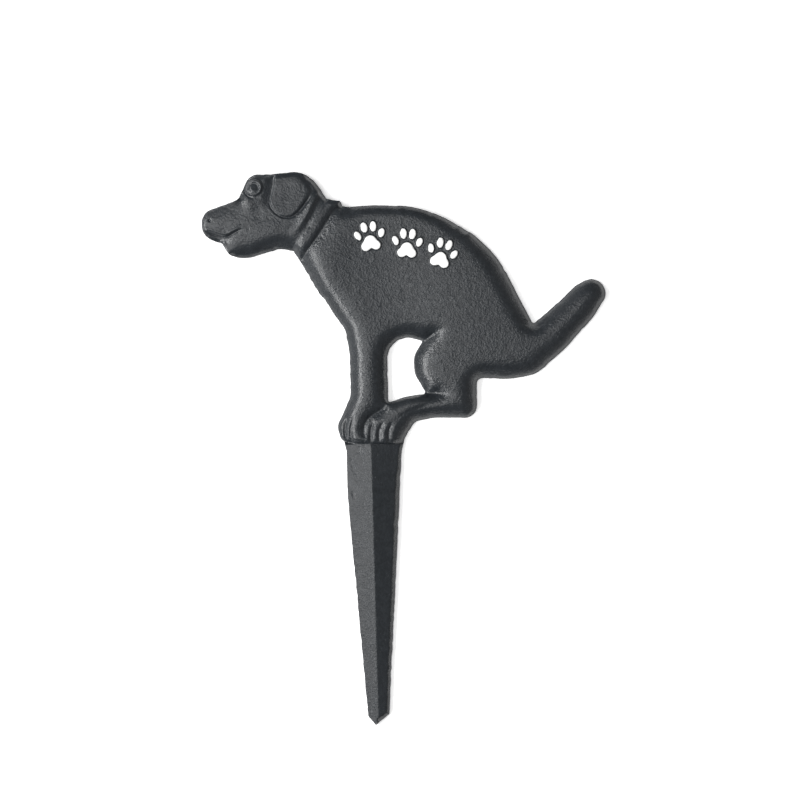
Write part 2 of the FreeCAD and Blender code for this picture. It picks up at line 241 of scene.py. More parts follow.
def near_line(places, line):
    """Distance to a line, share of the way along it, and side: positive to the left of the way."""
    starts, runs = line[:-1], np.diff(line, axis=0)
    lengths = np.hypot(*runs.T)
    travelled = np.concatenate([[0], np.cumsum(lengths)])

    def work(some):
        offset = some[:, None, :] - starts
        share = np.clip((offset * runs).sum(axis=2) / lengths ** 2, 0, 1)
        gap = offset - share[:, :, None] * runs
        distance = np.hypot(gap[:, :, 0], gap[:, :, 1])
        nearest = distance.argmin(axis=1)
        row = np.arange(len(some))
        run, off = runs[nearest], offset[row, nearest]
        side = run[:, 0] * off[:, 1] - run[:, 1] * off[:, 0]
        along = (travelled[nearest] + share[row, nearest] * lengths[nearest]) / travelled[-1]
        return np.column_stack([distance[row, nearest], along, np.sign(side)])
    return in_batches(work, places, size=6000).T


def in_boxes(places, boxes):
    """Which places lie in any of the boxes."""
    found = np.zeros(len(places), bool)
    for low, high in boxes:
        found |= (places > np.array(low)).all(axis=1) & (places < np.array(high)).all(axis=1)
    return found


def ease(values, low, high):
    """Smooth step from 0 at low to 1 at high."""
    share = np.clip((values - low) / (high - low), 0, 1)
    return share * share * (3 - 2 * share)


def bell(values, width):
    """A smooth bump: 1 where the value is 0, and almost gone at twice the width."""
    return np.exp(-(values / width) ** 2)


def groove(places, points, width, depth):
    """A round groove along a line, that runs out at both ends."""
    line = smooth_line(points)
    reach = 3 * width
    near = in_boxes(places, [(line.min(axis=0) - reach, line.max(axis=0) + reach)])
    height = np.zeros(len(places))
    distance, along, side = near_line(places[near], line)
    ends = ease(along, 0, GROOVE_FADE) * ease(1 - along, 0, GROOVE_FADE)
    height[near] = -depth * bell(distance, width) * ends
    return height


def turned(places, centre, degrees):
    """Places as seen from a centre, in axes turned by some degrees."""
    offset = places - np.array(centre)
    angle = math.radians(degrees)
    return np.column_stack([
        offset[:, 0] * math.cos(angle) + offset[:, 1] * math.sin(angle),
        offset[:, 1] * math.cos(angle) - offset[:, 0] * math.sin(angle),
    ])


def boss(places, centre, radii, turn, height):
    """A soft swelling, or a hollow where the height is negative."""
    along, across = turned(places, centre, turn).T
    return height * bell(along, radii[0]) * bell(across, radii[1])


print("a smooth line through 3 points has", len(smooth_line([(0, 0), (5, 2), (9, 0)])), "points")

# %% [markdown]
# ## The cushion of the body
# The flank is nearly flat, about 7 mm above the back, and falls away over the last centimetre
# before the edge, ever steeper. One list of slopes says how steep it is at each distance from the
# edge, and adding them up gives the height. Three creases run on into the body from the corners
# of the gap. They are edges too, but shallower ones, so they join the sources with a setback that
# stays small for most of the crease, then grows fast.

# %% Raise the cushion
RIM_HEIGHT = 1.3
SLOPE_AT = [0.0, 2.2, 3.0, 3.7, 4.4, 5.0, 5.6, 6.2, 7.0, 8.0, 9.0, 10.0, 12.0]
SLOPES = [0.92, 0.9, 0.88, 0.8, 0.66, 0.55, 0.47, 0.39, 0.28, 0.18, 0.1, 0.05, 0.0]
CREASES = {
    "belly": ([(24.4, 48.2), (28.0, 50.8), (31.4, 53.0), (35.5, 56.2)], 0.7, 9.0),
    "foot": ([(26.2, 23.2), (30.0, 23.2), (35.0, 22.7), (40.5, 21.0)], 0.5, 8.5),
    "paw": ([(7.6, 18.4), (4.6, 15.2), (0.1, 12.4), (-3.0, 9.4), (-4.2, 5.4), (-3.9, 1.6)],
            2.0, 3.2),
}


def edge_sources():
    """All that pulls the surface down, rim and creases, with setbacks and outward directions."""
    steps = [np.hypot(*(np.roll(loop, -1, axis=0) - loop).T) for loop in rims]
    sources, lengths, setbacks = [rim], [np.concatenate(steps)], [np.zeros(len(rim))]
    for points, first, last in CREASES.values():
        line = smooth_line(points)
        runs = np.hypot(*np.diff(line, axis=0).T)
        sources.append(line[:-1])
        lengths.append(runs)
        setbacks.append(first + (last - first) * np.linspace(0, 1, len(runs)) ** 3)
    outward = np.zeros((sum(len(part) for part in sources), 2))
    outward[:len(rim)] = -np.vstack([inward_of(loop) for loop in rims])
    return np.vstack(sources), np.concatenate(lengths), np.concatenate(setbacks), outward


def climb(distance, at, slopes):
    """Height gained on the way to a distance, when the slope is known at some places on the way."""
    fine = np.linspace(at[0], at[-1], 481)
    return np.interp(distance, fine, np.cumsum(np.interp(fine, at, slopes)) * (fine[1] - fine[0]))


flank_in = soft_distance(np.array([[20.0, 80.0]]), *edge_sources())[0]
print("the flank is", (RIM_HEIGHT + climb(flank_in, SLOPE_AT, SLOPES)).round(2), "mm high")

# %% [markdown]
# ## Every edge has its own roundness
# On the real casting the edge isn't the same all round. It is fuller on the back, the nose, the
# chin and the hind foot, and nearly flat on the muzzle and the top of the head. Edges that face
# right and down end in a thin ledge, where the two halves of the mould met. We describe each
# region by a mask, a soft number from 0 to 1, and mix the profiles by these masks, so that
# nowhere does one roundness stop and the next begin.

# %% Shape the edge by regions
FULLER = (2.4, 0.3)
FLATTER = (3.6, -1.05)
CHIN_FLATTER = 0.6
INSET = 0.35
LEDGE_DROP = 0.95
NAPE_DROP = 2.7
LEDGE_FROM, LEDGE_TO, LEDGE_WIDER = -0.4, 1.5, 0.5
MUZZLE_LOWER = 0.33
SWELLINGS = [
    ((46.0, 66.0), (26.0, 30.0), 0, 0.65),
    ((10.0, 76.0), (17.0, 30.0), 20, -0.75),
    ((-23.0, 88.0), (10.0, 22.0), -20, 0.8),
]


def regions(places, right, up):
    """Masks from 0 to 1 for the head, back, hind foot, nose, chin and front leg."""
    across, height_up = places.T
    to_left, to_top = np.clip(-right, 0, 1), np.clip(up, 0, 1)
    on_head = ease(-across, 8, 22) * ease(height_up, 84, 98)
    on_tail = ease(across, 82, 92)
    on_back = to_top * (1 - ease(right, 0.3, 0.8) * (1 - on_head))
    on_back = on_back * ease(height_up, 64, 76) * (1 - on_tail)
    on_foot = to_top * ease(across, 2, 8) * ease(30 - height_up, 0, 4)
    on_nose = to_left * ease(-across, 68, 76) * ease(height_up, 97, 101)
    on_chin = to_left * ease(-across, 57, 63) * ease(101 - height_up, 0, 3)
    on_leg = ease(60 - height_up, 0, 8) * ease(20 - across, 0, 4)
    return on_head, on_back, on_foot, on_nose, on_chin, on_leg


def seam_ledge(exact, right, on_head, on_back):
    """How far the mould's seam lowers the surface close to the rim."""
    seam = (1 - 0.55 * ease(-right, 0.5, 1)) * (1 - 0.85 * on_back)
    seam = seam * (1 - 0.8 * on_head * ease(0.5 - right, 0, 0.4))
    nape = on_back * on_head * ease(right, 0.25, 0.6)
    drop = LEDGE_DROP * seam + NAPE_DROP * nape
    from_ledge = exact * (1 - 0.3 * nape) - LEDGE_WIDER * np.clip(right, 0, 1)
    return drop * (1 - ease(from_ledge, LEDGE_FROM, LEDGE_TO))


def cushion(places, exact):
    """Height of the plain swelling body above the flat back."""
    soft, right, up = soft_distance(places, *edge_sources())
    on_head, on_back, on_foot, on_nose, on_chin, on_leg = regions(places, right, up)
    fuller = np.clip(on_back + on_nose + on_foot + on_chin, 0, 1)
    flatter = np.clip(on_back * on_head + on_nose + CHIN_FLATTER * on_chin, 0, 1)
    inset = INSET * np.clip(-right, 0, 1) * (1 - on_head) * (1 - on_leg)
    shift = FULLER[0] * fuller + FLATTER[0] * flatter - inset
    stretch = 1 + FULLER[1] * fuller + FLATTER[1] * flatter
    height = RIM_HEIGHT + climb(soft * stretch + shift, SLOPE_AT, SLOPES)
    height -= seam_ledge(exact, right, on_head, on_back)
    for centre, radii, turn, swell in SWELLINGS:
        height += boss(places, centre, radii, turn, swell) * ease(soft, 0, 9)
    return height * (1 - MUZZLE_LOWER * ease(-places[:, 0], 52, 88) * on_head)


for name, place in {"chest": (-20.0, 80.0), "back": (60.0, 85.0), "muzzle": (-75.0, 108.0)}.items():
    place = np.array([place])
    print(name, "is", cushion(place, rim_distance(place)).round(2), "mm high")

# %% [markdown]
# ## The ridged spike
# Below the paws the casting turns into a spike like a small roof: a low wall at each side, two
# slanting faces and a ridge between them that drifts to the right on its way down. Four
# cross-sections say how wide and how high it is, and everything between them is a straight blend.
# The left-hand face is a little hollow and the right-hand one is flat and bevelled at its edge.

# %% Raise the spike
HIGHEST = 7.85
SPIKE_UP = [-140.0, -27.0, -5.0, 4.0]
SPIKE_LEFT = [-1.7, -12.2, -12.7, -15.0]
SPIKE_RIGHT = [8.0, 13.3, 14.3, 16.4]
SPIKE_RIDGE = [2.9, -0.1, -0.8, -1.0]
SPIKE_TOP = [2.9, 6.3, 5.3, 4.9]
SPIKE_WALLS = ([2.0, 3.9, 2.9, 2.5], [1.8, 2.5, 2.0, 1.8])
HOLLOW = 1.35
BEVEL = (0.4, 1.2)
SOLE = [(-18.0, -1.0), (-14.0, -1.2), (-6.0, -1.4), (2.0, -1.4), (9.0, -1.6), (18.0, -1.8)]


def spike(places, exact):
    """Height of the spike's two slanting faces."""
    across, up = places.T
    rows = (SPIKE_LEFT, SPIKE_RIGHT, SPIKE_RIDGE, SPIKE_TOP, *SPIKE_WALLS)
    left, right, ridge, top, left_wall, right_wall = [np.interp(up, SPIKE_UP, row) for row in rows]
    share = np.clip((across - left) / (ridge - left), 0, None)
    left_face = left_wall + (top - left_wall) * share ** HOLLOW
    right_face = right_wall + (top - right_wall) * (right - across) / (right - ridge)
    bevel = np.where(across < ridge, HIGHEST, BEVEL[0] + BEVEL[1] * exact)
    return np.minimum(np.minimum(left_face, right_face), bevel)


def sole_height(across):
    """How high the line of the paws' soles lies."""
    return np.interp(across, *np.array(SOLE).T)


print("spike at its top:", spike(np.array([[-0.8, -5.0]]), np.array([12.0])).round(1), "mm high")

# %% [markdown]
# ## The head
# The head is the busiest part. The ear is a flap that lies on the skull: the skull slopes down
# towards its front edge, where the flap steps up again, and a groove runs round its tip and
# back. The eye is a raised lid, a ring, with a shallow ball inside. The upper lip hangs over the
# lower one, and the muzzle, the cheek and the chin are soft swellings.

# %% Sculpt the head
EAR = [(-47.0, 130.8), (-48.2, 123.5), (-49.6, 116.6), (-48.7, 113.2), (-45.2, 110.0),
       (-41.9, 109.2), (-39.0, 109.8), (-36.0, 112.3), (-33.1, 116.0), (-30.8, 119.4),
       (-30.4, 122.6), (-32.6, 126.6), (-36.0, 129.6), (-42.0, 131.4)]
EAR_EDGE = [-0.3, 0.05, 0.4]
EYE = (-57.8, 123.2)
EYE_TURN = 40
LID = 3.4
BALL = 2.3
PITS = [((-79.5, 107.4), 0.6, 0.9), ((-30.4, 103.9), 0.4, 0.5), ((-24.7, 98.9), 0.4, 0.45),
        ((-11.8, 27.4), 0.4, 0.35), ((34.0, 18.6), 0.45, 0.3)]
LIP_LINE = [(-84.5, 103.2), (-82.2, 102.3), (-79.2, 101.5), (-76.0, 100.4), (-72.6, 99.6),
            (-70.4, 100.0), (-67.8, 101.4), (-65.2, 102.6), (-62.2, 103.8)]
HEAD_FORMS = [
    ((-75.0, 106.8), (9.0, 4.4), 16, 0.6),
    ((-67.0, 97.8), (3.4, 2.4), 15, 0.35),
    ((-49.0, 101.8), (7.5, 5.5), 10, 0.45),
    ((-56.2, 110.6), (4.5, 4.5), 0, -0.55),
    ((-60.2, 115.6), (3.4, 4.2), 25, 0.95),
    ((-57.4, 123.0), (5.4, 5.4), 0, 0.45),
    ((-42.0, 125.4), (8.0, 5.0), 0, 0.35),
]


def ear(places):
    """The raised flap, the skull that slopes down to its front and the groove round its tip."""
    line = smooth_line(EAR, closed=True)
    distance = near_line(places, np.vstack([line, line[:1]]))[0]
    depth_in = np.where(inside(places, [line]), distance, -distance)
    across, up = places.T
    front = ease(-44.5 - across, 0, 4.0) * ease(up, 108.5, 120)
    behind = ease(across, -45, -34)
    corner = behind * ease(up, 116.5, 120.5)
    step = ease(depth_in, EAR_EDGE[0], EAR_EDGE[-1])
    flap = 0.45 * step - 0.25 * ease(depth_in, 2.0, 9.0)
    rolled_off = 0.32 * behind * step * (1 - ease(depth_in, 0.0, 1.6))
    slope = 1.1 * ease(depth_in, -5.2, EAR_EDGE[0]) * (1 - step) * front
    cut = (0.5 + 0.4 * behind) * bell(depth_in + 0.45 + 0.1 * behind, 0.38 + 0.3 * behind)
    lip = 0.15 * bell(depth_in + 1.5, 0.5) * (1 - behind)
    open_edge = ease(129.0 - up, 0.0, 6.0) * (1 - front) * (1 - 0.85 * corner)
    return flap - rolled_off - slope + (lip - cut) * open_edge


def eye(places):
    """A bulge with a ball in it, a lid that is thickest above right, and a groove below left."""
    along, across = turned(places, EYE, EYE_TURN).T
    away = np.hypot(along * 0.97, across)
    angle = np.arctan2(across, along)
    thick = np.cos(angle)
    bulge = 0.8 * ease(LID + 1.0 - away, 0.0, 1.1)
    lid = (0.17 + 0.12 * thick) * bell(away - LID, 0.8)
    gap = (0.2 + 0.12 * thick) * bell(away - BALL, 0.55)
    ball = -0.3 * along * ease(BALL + 0.5 - away, 0.0, 1.2)
    outside = 0.65 * bell(away - LID - 1.35, 0.5) * ease(-np.cos(angle + 0.35), 0.3, 0.8)
    return bulge + lid - gap + ball - outside


def lips(places):
    """The upper lip hangs over the lower one, with a crease between them."""
    distance, along, side = near_line(places, smooth_line(LIP_LINE))
    to_corner = 1 - along
    fade = ease(to_corner, 0.0, 0.2) * (0.55 + 0.45 * ease(along, 0.1, 0.45))
    under = side < 0
    lowered = 0.7 * bell(distance, 4.0) * np.where(under, ease(distance, 0.0, 0.6), 0)
    lowered = lowered * ease(to_corner, 0.0, 0.4)
    crease = 0.7 * bell(distance * np.where(under, 1, -1) - 0.2, 0.5)
    rolled = 0.4 * bell(distance - 1.2, 0.8) * ~under
    return (rolled - lowered - crease) * fade


def head(places):
    """All the forms of the head added up."""
    height = ear(places) + eye(places) + lips(places)
    for centre, radii, turn, rise in HEAD_FORMS:
        height += boss(places, centre, radii, turn, rise)
    return height


def pits(places):
    """Small round pits: the nostril and a few blowholes of the casting."""
    return sum(boss(places, centre, (radius, radius), 0, -depth) for centre, radius, depth in PITS)


print("the eye stands out by", eye(np.array([EYE])).round(2), "mm and the ear by",
      ear(np.array([[-42.0, 118.0]])).round(2), "mm")

# %% [markdown]
# ## The collar and the folds of the neck
# The collar is a strap with a round section. A crisp groove parts it from the shoulder, a soft
# valley parts it from a roll of skin towards the ear. All three follow the same slanting line, so
# they share one distance: how far a place lies from the groove, towards the head. Groove and
# strap are again a list of slopes, which makes it easy to say how each side catches the light.

# %% Sculpt the collar and the neck
COLLAR_GROOVE = [(-36.8, 84.6), (-33.8, 89.2), (-29.2, 95.7), (-25.4, 101.1), (-21.9, 106.8),
                 (-18.9, 111.2), (-17.0, 112.8), (-14.9, 113.2), (-12.2, 114.2)]
STRAP_AT = [-5.0, -4.0, -2.0, -1.0, -0.5, 0.1, 0.7, 1.4, 2.4, 3.4, 4.8, 5.8, 6.6, 7.4]
STRAP_SLOPES = [0.0, -0.05, -0.15, -0.35, -0.7, -0.1, 0.85, 0.75, 0.4, 0.1, -0.05, -0.32, -0.52,
                0.0]
ROLL_HEIGHT = 1.4
ROLL_AT = (7.5, 10.6, 13.9)
NECK_LOWER = 0.15


def collar(places):
    """Groove, strap, valley and roll of skin, towards the head, and how far the neck has sunk."""
    distance, along, side = near_line(places, smooth_line(COLLAR_GROOVE))
    from_groove = distance * side
    strap = climb(from_groove, STRAP_AT, STRAP_SLOPES)
    first, top, last = ROLL_AT
    at = from_groove - 1.5 * ease(along, 0.6, 0.9)
    roll = ROLL_HEIGHT * ease(at, first, top) * np.clip((last - at) / (last - top), 0, 1)
    roll *= ease(along, 0.2, 0.55) * (1 - ease(places[:, 1], 118.5, 122.5))
    sunk = NECK_LOWER * bell(np.minimum(from_groove, 0), 4.8)
    return (strap + roll) * ease(16.0 - distance, 0.0, 3.5), sunk


print("the collar stands out by", collar(np.array([[-29.0, 103.0]]))[0].round(2), "mm")

# %% [markdown]
# ## Paws and toes
# The hind foot is planted on top of the front paw, so both sets of toes sit side by side over the
# spike. Each gap between two toes is a narrow groove that leans a little, and each toe is a low
# roll between two gaps. At the soles the surface rounds down to a fine crease.

# %% Sculpt the toes
TOE_GAPS = [
    ([(-11.4, 11.8), (-12.8, 8.8), (-13.4, 5.6), (-13.2, 2.4), (-12.6, -1.5)], 1.8, 1.6, 1.3),
    ([(-8.8, 13.0), (-10.0, 9.0), (-10.8, 5.6), (-10.6, 1.8), (-9.8, -2.4)], 2.4, 1.3, 0.85),
    ([(0.8, 10.6), (-0.2, 7.6), (-0.9, 4.6), (-0.9, 1.2), (-0.4, -2.4)], 2.4, 1.7, 1.15),
    ([(6.0, 10.2), (4.4, 7.4), (3.3, 4.6), (3.1, 1.0), (3.6, -2.6)], 2.4, 2.0, 1.1),
    ([(10.4, 10.0), (8.8, 7.0), (7.9, 4.2), (7.8, 0.8), (8.4, -2.8)], 2.2, 2.0, 1.05),
]


def toes(places):
    """Gaps between the toes: each falls from the toe on its left and climbs to the other one."""
    height = np.zeros(len(places))
    near = in_boxes(places, [((-19, -4), (18, 17))])
    low = ease(places[near, 1] - sole_height(places[near, 0]), 0.2, 2.2)
    for gap, rising, falling, depth in TOE_GAPS:
        distance, along, side = near_line(places[near], smooth_line(gap))
        deep = np.clip(1 - distance / np.where(side > 0, rising, falling), 0, 1)
        deep = 0.5 * deep + 0.5 * deep ** 2
        height[near] -= depth * deep * ease(along, 0, 0.3) * low
    return height


print("between two toes:", toes(np.array([[-0.9, 3.0]])).round(2), "mm")

# %% [markdown]
# ## Marks on the flank
# The flank carries raised marks in white: three plain paw prints. Each pad is a soft shape with a
# known distance to its edge: an ellipse for a toe, and three circles that melt together for the
# heel. One function of that distance raises the metal under the mark, and the same function later
# cuts the white paint to shape.

# %% Shapes of the raised marks
PRINTS = [((-1.2, 98.8), 8), ((16.9, 95.4), -4), ((33.6, 90.6), -16)]
HEEL = [((0.0, -1.5), 2.95), ((-2.5, -4.0), 2.4), ((2.5, -4.0), 2.4)]
TOES = [((-5.8, 1.6), 1.75, 2.55, 24), ((-2.2, 5.3), 1.85, 2.8, 7), ((2.2, 5.3), 1.85, 2.8, -7),
        ((5.8, 1.6), 1.75, 2.55, -24)]
MARK_RISE = 0.8
MELT = 0.7
SPOKES, SPOKE_LENGTH, HALVINGS = 56, 8.0, 22


def pad_depth(places, pad):
    """How deep inside one pad each place lies, in millimetres; negative outside."""
    print_centre, print_turn, shape = pad
    local = turned(places, print_centre, print_turn)
    if shape is HEEL:
        depths = [radius - np.hypot(*(local - np.array(centre)).T) for centre, radius in HEEL]
        return MELT * np.log(sum(np.exp(np.clip(depth, -20, 9) / MELT) for depth in depths))
    centre, half_width, half_height, lean = shape
    local = turned(local, centre, lean)
    across, up = local.T
    reach = np.hypot(across / half_width, up / half_height)
    slope = np.hypot(across / half_width ** 2, up / half_height ** 2) / np.maximum(reach, 1e-6)
    return (1 - reach) / np.maximum(slope, 0.3)


pads = [(centre, turn, shape) for centre, turn in PRINTS for shape in [HEEL] + TOES]


def marks(places):
    """How deep inside any mark each place lies."""
    return np.max([pad_depth(places, pad) for pad in pads], axis=0)


def pad_outline(pad, level):
    """The loop on which a pad's depth has one value, found by halving along spokes."""
    centre, turn, shape = pad
    middle = (0.0, -3.0) if shape is HEEL else shape[0]
    angles = np.linspace(0, 2 * math.pi, SPOKES, endpoint=False)
    spokes = np.column_stack([np.cos(angles), np.sin(angles)])
    middle = turned(np.array([middle]), (0, 0), -turn)[0] + np.array(centre)
    near, far = np.zeros(SPOKES), np.full(SPOKES, SPOKE_LENGTH)
    for step in range(HALVINGS):
        half = (near + far) / 2
        inner = pad_depth(middle + spokes * half[:, None], pad) > level
        near, far = np.where(inner, half, near), np.where(inner, far, half)
    return middle + spokes * near[:, None]


print("a toe's outline is", round(area_of(pad_outline(pads[1], 0.0)), 1), "mm2")

# %% [markdown]
# ## One height for every place
# Now all the forms are added up. Near the rim the forms of the head, the collar and the toes fade
# out, so that the edge stays clean. The paws round down to the sole line and the spike begins
# there: the two heights are blended across a narrow step with a fine crease in it. A few shallow
# scars and a pit on the spike are flaws of the sand mould.

# %% Add up the whole relief
SPIKE_PIT = [(-9.9, -24.4), (-9.4, -26.6), (-8.6, -28.6)]
SPIKE_SCARS = [[(-10.6, -8.0), (-9.6, -12.5), (-8.2, -16.8)], [(-6.5, -2.6), (-6.9, -6.4)]]


def relief(places):
    """Height of the front above the flat back at each place, in millimetres."""
    exact = rim_distance(places)
    above_sole = places[:, 1] - sole_height(places[:, 0])
    dog = cushion(places, exact)
    neck, sunk = collar(places)
    dog = dog * (1 - sunk) + (head(places) + neck + toes(places)) * ease(exact, 0.3, 2.5)
    dog += MARK_RISE * ease(marks(places), -0.15, 0.45)
    under = 1.4 + 0.8 * ease(-places[:, 0], 5, 11)
    dog -= under * (1 - ease(above_sole, -0.4, 2.6)) * ease(exact, 0.0, 2.0)
    stake = spike(places, exact)
    stake += groove(places, SPIKE_PIT, 0.5, 0.35)
    for scar in SPIKE_SCARS:
        stake += groove(places, scar, 0.8, 0.22)
    height = stake + (dog - stake) * ease(above_sole, -0.45, 0.55)
    height -= 0.2 * bell(above_sole, 0.5) * ease(exact, 0.2, 1.5)
    return np.clip(height + pits(places), 0.4, HIGHEST)


print("flank", relief(np.array([[20.0, 80.0]])).round(2), "eye", relief(np.array([EYE])).round(2))

# %% [markdown]
# ## A mesh that follows the rim
# A relief could be a square grid, but its staircase would spoil the silhouette. Instead we
# scatter points on a honeycomb, closer together on the head, the paws and the marks where the
# detail is. A few rows run along the rim, the ear's edge and each mark, and one follows the
# spike's ridge. A triangulation joins them all, and the rim's own edges are kept as they are.

# %% Scatter the points
COARSE = 0.72
FINE = 0.42
FINE_AREAS = [((-84, 84), (-12, 132)), ((-19, -3.5), (19, 15)), ((-10, 80.5), (43, 108.5))]
RIM_ROWS = [0.13, 0.32, 0.6, 0.95]
MARK_ROWS = [-0.22, 0.02, 0.24, 0.5]
CLEAR_OF_MARKS, CLEAR_OF_EAR, CLEAR_OF_RIDGE, CLEAR_OF_ROWS = 0.2, 0.6, 0.3, 0.25
EDGE_STEP = 0.4
RIDGE_FOOT, RIDGE_TOP = -138.0, -1.5


def honeycomb(step, low, high):
    """Points in rows, every other row moved by half a step."""
    across = np.arange(low[0], high[0], step)
    rows = enumerate(np.arange(low[1], high[1], step * math.sqrt(3) / 2))
    return np.vstack([np.column_stack([across + step / 2 * (i % 2), np.full(len(across), up)])
                      for i, up in rows])


def ear_rows(field):
    """Clear a strip along the ear's edge and lay rows of points in it."""
    flap = evenly(smooth_line(EAR, closed=True), EDGE_STEP)
    to_left = inward_of(flap) * np.sign(area_of(flap))
    field = field[near_line(field, np.vstack([flap, flap[:1]]))[0] > CLEAR_OF_EAR]
    return np.vstack([field] + [flap + to_left * level for level in EAR_EDGE])


def ridge_row(field):
    """Clear a strip along the spike's ridge and lay one row of points on it."""
    up = np.arange(RIDGE_FOOT, RIDGE_TOP + 0.1, EDGE_STEP)
    ridge = np.column_stack([np.interp(up, SPIKE_UP, SPIKE_RIDGE), up])
    off_ridge = np.abs(field[:, 0] - np.interp(field[:, 1], SPIKE_UP, SPIKE_RIDGE))
    return np.vstack([field[(off_ridge > CLEAR_OF_RIDGE) | (field[:, 1] > RIDGE_TOP)], ridge])


def scatter():
    """All the points inside the rim, in millimetres."""
    coarse = honeycomb(COARSE, rim.min(axis=0), rim.max(axis=0))
    fine = np.vstack([honeycomb(FINE, *area) for area in FINE_AREAS])
    field = np.vstack([coarse[~in_boxes(coarse, FINE_AREAS)], fine])
    depth = marks(field)
    off_marks = (depth < MARK_ROWS[0] - CLEAR_OF_MARKS) | (depth > MARK_ROWS[-1] + CLEAR_OF_MARKS)
    field = ridge_row(ear_rows(field[inside(field, rims) & off_marks]))
    off_rim = rim_distance(field) > RIM_ROWS[-1] + CLEAR_OF_ROWS
    rows = [field[inside(field, rims) & off_rim]]
    for depth in RIM_ROWS:
        row = np.vstack([loop + inward_of(loop) * depth for loop in rims])
        row = row[inside(row, rims)]
        rows.append(row[rim_distance(row) > depth * 0.93])
    return np.vstack(rows)


field = scatter()
print("points on the front:", len(field) + len(rim))

# %% [markdown]
# ## The painter's edge
# White paint is dabbed on the raised marks by hand, so it stops a little before the mark's edge
# and never exactly on it, and the side of the mark stays black. We give every pad a loop that
# wavers inside its edge. These loops go into the triangulation too, and later the triangles
# inside them are lifted off as the paint.

# %% Draw the paint's outlines
PAINT_DEEPEST, PAINT_WIDEST = 0.62, 0.08

paint_loops = []
for pad in pads:
    inner, outer = pad_outline(pad, PAINT_DEEPEST), pad_outline(pad, PAINT_WIDEST)
    waver = 0.55 * smooth_noise(len(inner), 7) + 0.45 * smooth_noise(len(inner), 3)
    paint_loops.append(inner + (outer - inner) * (0.25 + 0.75 * waver)[:, None])
mark_rows = [pad_outline(pad, level) for pad in pads for level in MARK_ROWS]
print("paint outlines:", len(paint_loops), "first covers", round(area_of(paint_loops[0]), 1), "mm2")

# %% [markdown]
# ## From points to a solid-looking casting
# The triangulation is done flat. Then every point is lifted to its height, the rim is doubled at
# the back to make the thin side wall, and the back is closed with a second, simple triangulation
# of the rim alone. The front is shaded smooth, and both edges of the side wall stay sharp. Every
# point also stores how calm the iron's skin is there: near the rim, on the spike and on the back
# it is smoother than on the flank, and the finish reads that number later.

# %% Build the casting
CALM_WITHIN, ROUGH_FROM = 3.0, 9.0


def triangulate(points, loops):
    """Join points into triangles that keep the loops' edges. The loops' points come first."""
    edges, first = [], 0
    for loop in loops:
        count = len(loop)
        edges += [(first + i, first + (i + 1) % count) for i in range(count)]
        first += count
    result = delaunay_2d_cdt([Vector(point) for point in points], edges, [], 0, 1e-7)
    found = np.array([point[:] for point in result[0]])
    faces = np.array([face for face in result[2] if len(face) == 3])
    return found, faces[inside(found[faces].mean(axis=1), rims)]


def make_piece(name, vertices, faces, sharp_edges=()):
    """A new object from points in millimetres, shaded smooth except along the sharp edges."""
    mesh = bpy.data.meshes.new(name)
    faces = [list(map(int, face)) for face in faces]
    mesh.from_pydata((np.asarray(vertices) * MM).tolist(), [], faces)
    mesh.validate()
    mesh.polygons.foreach_set("use_smooth", [True] * len(mesh.polygons))
    sharp = {frozenset(edge) for edge in sharp_edges}
    for edge in mesh.edges:
        edge.use_edge_sharp = frozenset(edge.vertices) in sharp
    piece = bpy.data.objects.new(name, mesh)
    bpy.context.scene.collection.objects.link(piece)
    return piece


def build_casting():
    """The whole casting as one object."""
    shift = len(front)
    back, back_faces = triangulate(rim, rims)
    vertices = np.vstack([
        np.column_stack([front[:, 0], -front_height, front[:, 1]]),
        np.column_stack([back[:, 0], np.zeros(len(back)), back[:, 1]]),
    ])
    faces = front_faces.tolist() + (back_faces[:, ::-1] + shift).tolist()
    first, sharp = 0, []
    for loop in rims:
        count = len(loop)
        for i in range(count):
            a, b = first + i, first + (i + 1) % count
            faces.append((a, a + shift, b + shift, b))
            sharp += [(a, b), (a + shift, b + shift)]
        first += count
    piece = make_piece("dog_casting", vertices, faces, sharp)
    near_rim = 1 - ease(rim_distance(front), CALM_WITHIN, ROUGH_FROM)
    calm = np.maximum(near_rim, 1 - ease(front[:, 1], -4.0, 1.0))
    layer = piece.data.attributes.new("calm", "FLOAT", "POINT")
    layer.data.foreach_set("value", np.concatenate([calm, np.ones(len(back))]))
    return piece


every_point = np.vstack([rim] + paint_loops + mark_rows + [field])
front, front_faces = triangulate(every_point, rims + paint_loops)
front_height = relief(front)
casting = build_casting()
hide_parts("dog_stake_casting")
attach(casting, "root")
used = {i for face in casting.data.polygons for i in face.vertices}
print("casting:", len(casting.data.polygons), "faces on", len(casting.data.vertices), "points,",
      len(casting.data.vertices) - len(used), "of them loose")

# %% [markdown]
# ## Brushed white paint
# Paint that is only a colour on the iron would have a computer-sharp, weightless edge. So the
# paint is its own thin skin: the casting's triangles inside the wavering loops, lifted by six
# hundredths of a millimetre, with a narrow skirt that closes the skin down to the iron.

# %% Lift the paint off the casting
PAINT_THICKNESS = 0.06


def lift_paint():
    """One skin of paint for all the marks."""
    chosen = front_faces[inside(front[front_faces].mean(axis=1), paint_loops)]
    used, flat = np.unique(chosen, return_inverse=True)
    faces = flat.reshape(-1, 3).tolist()
    directed = {(a, b) for face in faces for a, b in zip(face, face[1:] + face[:1])}
    border = [(a, b) for a, b in directed if (b, a) not in directed]
    skirt = {a: len(used) + i for i, (a, b) in enumerate(border)}
    lifted = front_height[used] + PAINT_THICKNESS
    top = np.column_stack([front[used, 0], -lifted, front[used, 1]])
    foot = top[[a for a, b in border]] + [0, 1.5 * PAINT_THICKNESS, 0]
    faces += [(b, a, skirt[a], skirt[b]) for a, b in border]
    return make_piece("white_marks", np.vstack([top, foot]), faces)


paint = lift_paint()
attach(paint, "root")
print("paint:", len(paint.data.polygons), "faces")

